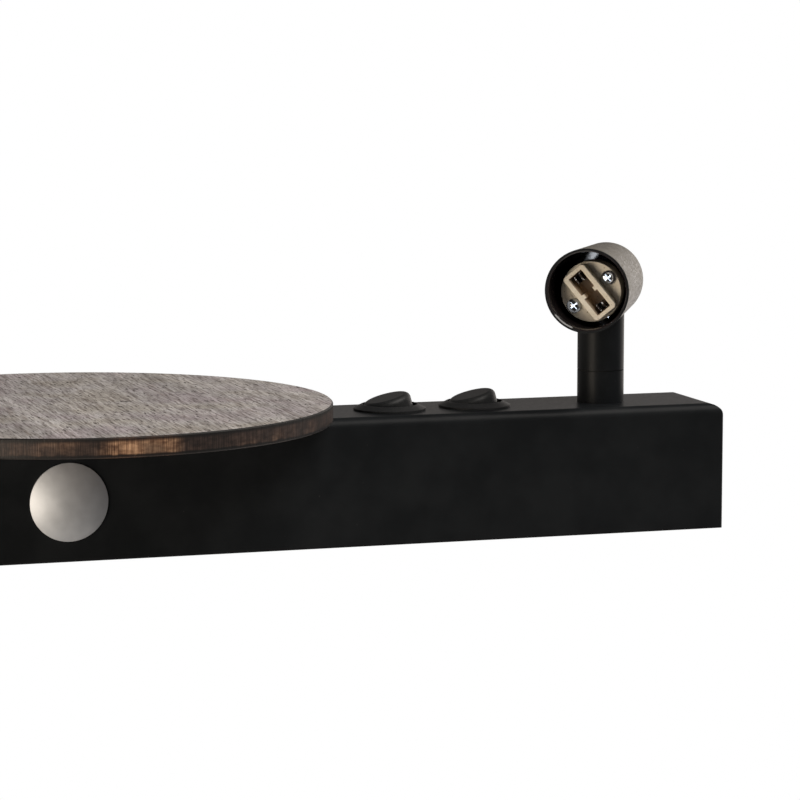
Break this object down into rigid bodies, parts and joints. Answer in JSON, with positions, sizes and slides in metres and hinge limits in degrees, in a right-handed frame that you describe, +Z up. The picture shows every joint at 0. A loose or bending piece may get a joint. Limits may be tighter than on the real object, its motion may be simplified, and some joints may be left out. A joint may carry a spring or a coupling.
{
  "type": "wall lamp",
  "caption": "Black wall lamp: a long box bar held off the wall by a stem, carrying a round wooden shelf, rocker switches and short spot heads that turn on upright posts.",
  "frame": {"origin": "on the wall plane, on the axis of the stem", "axes": "+X along the bar towards the switches, +Y into the wall, +Z up"},
  "size_m": [0.4278, 0.1665, 0.0937],
  "materials": {
    "black_powder_coat": "matte, fine texture",
    "black_plastic": "satin",
    "black_rubber": "matte",
    "pale_plastic": "satin",
    "zinc_plated_steel": "satin",
    "brass": "satin",
    "satin_nickel": "satin",
    "plywood": "open grain, matte stain",
    "ceramic": "unglazed cream ceramic"
  },
  "bodies": {
    "frame": {"wall_strap": "zinc_plated_steel", "stem_rod": "zinc_plated_steel", "rod_nuts": "zinc_plated_steel", "canopy": "black_powder_coat", "stem_tube": "black_powder_coat", "wire_grommets": "black_rubber", "terminal_block": "pale_plastic", "terminal_inserts": "brass", "terminal_screws": "zinc_plated_steel", "block_screw": "zinc_plated_steel", "earth_screw": "brass", "bar_shell": "black_powder_coat", "cover_plate": "black_powder_coat", "cover_screws": "zinc_plated_steel", "cap_nut": "satin_nickel", "shelf_board": "plywood", "shelf_screws": "zinc_plated_steel", "supply_lead": "black_rubber", "right_lead": "black_rubber", "left_lead": "black_rubber", "inner_switch_body": "black_plastic", "inner_switch_terminals": "brass", "outer_switch_body": "black_plastic", "outer_switch_terminals": "brass", "right_post_stub": "black_powder_coat", "right_stub_nut": "zinc_plated_steel", "right_swivel_washer": "black_rubber", "right_stop_pin": "zinc_plated_steel", "right_circlip": "zinc_plated_steel", "left_post_stub": "black_powder_coat", "left_stub_nut": "zinc_plated_steel", "left_swivel_washer": "black_rubber", "left_stop_pin": "zinc_plated_steel", "left_circlip": "zinc_plated_steel"},
    "inner_rocker": {"inner_switch_rocker": "black_plastic", "inner_switch_plunger": "brass", "inner_switch_spring": "zinc_plated_steel"},
    "inner_arm": {"inner_switch_arm": "brass"},
    "outer_rocker": {"outer_switch_rocker": "black_plastic", "outer_switch_plunger": "brass", "outer_switch_spring": "zinc_plated_steel"},
    "outer_arm": {"outer_switch_arm": "brass"},
    "right_head": {"right_post": "black_powder_coat", "right_head_plug": "zinc_plated_steel", "right_head_nut": "zinc_plated_steel", "right_head_tube": "black_powder_coat", "right_holder_bracket": "zinc_plated_steel", "right_lamp_holder": "ceramic", "right_holder_contacts": "zinc_plated_steel", "right_holder_screws": "zinc_plated_steel", "right_head_lead": "black_rubber"},
    "left_head": {"left_post": "black_powder_coat", "left_head_plug": "zinc_plated_steel", "left_head_nut": "zinc_plated_steel", "left_head_tube": "black_powder_coat", "left_holder_bracket": "zinc_plated_steel", "left_lamp_holder": "ceramic", "left_holder_contacts": "zinc_plated_steel", "left_holder_screws": "zinc_plated_steel", "left_head_lead": "black_rubber"}
  },
  "joints": [
    {"name": "inner_rocker_tilt", "type": "hinge", "parent": "frame", "child": "inner_rocker", "pos_m": [0.10695, -0.085, 0.021], "axis": [0, 1, 0], "range_deg": [0, 30]},
    {"name": "inner_arm_tilt", "type": "hinge", "parent": "frame", "child": "inner_arm", "pos_m": [0.10695, -0.085, 0.01325], "axis": [0, 1, 0], "range_deg": [-16, 0]},
    {"name": "outer_rocker_tilt", "type": "hinge", "parent": "frame", "child": "outer_rocker", "pos_m": [0.13525, -0.085, 0.021], "axis": [0, 1, 0], "range_deg": [0, 30]},
    {"name": "outer_arm_tilt", "type": "hinge", "parent": "frame", "child": "outer_arm", "pos_m": [0.13525, -0.085, 0.01325], "axis": [0, 1, 0], "range_deg": [-16, 0]},
    {"name": "right_head_swivel", "type": "hinge", "parent": "frame", "child": "right_head", "pos_m": [0.17815, -0.085, 0.032], "axis": [0, 0, 1], "range_deg": [-134, 192]},
    {"name": "left_head_swivel", "type": "hinge", "parent": "frame", "child": "left_head", "pos_m": [-0.17815, -0.085, 0.032], "axis": [0, 0, 1], "range_deg": [-192, 134]}
  ],
  "couplings": [
    {"joint": "inner_arm_tilt", "follows": "inner_rocker_tilt", "ratio": -0.53333},
    {"joint": "outer_arm_tilt", "follows": "outer_rocker_tilt", "ratio": -0.53333}
  ]
}
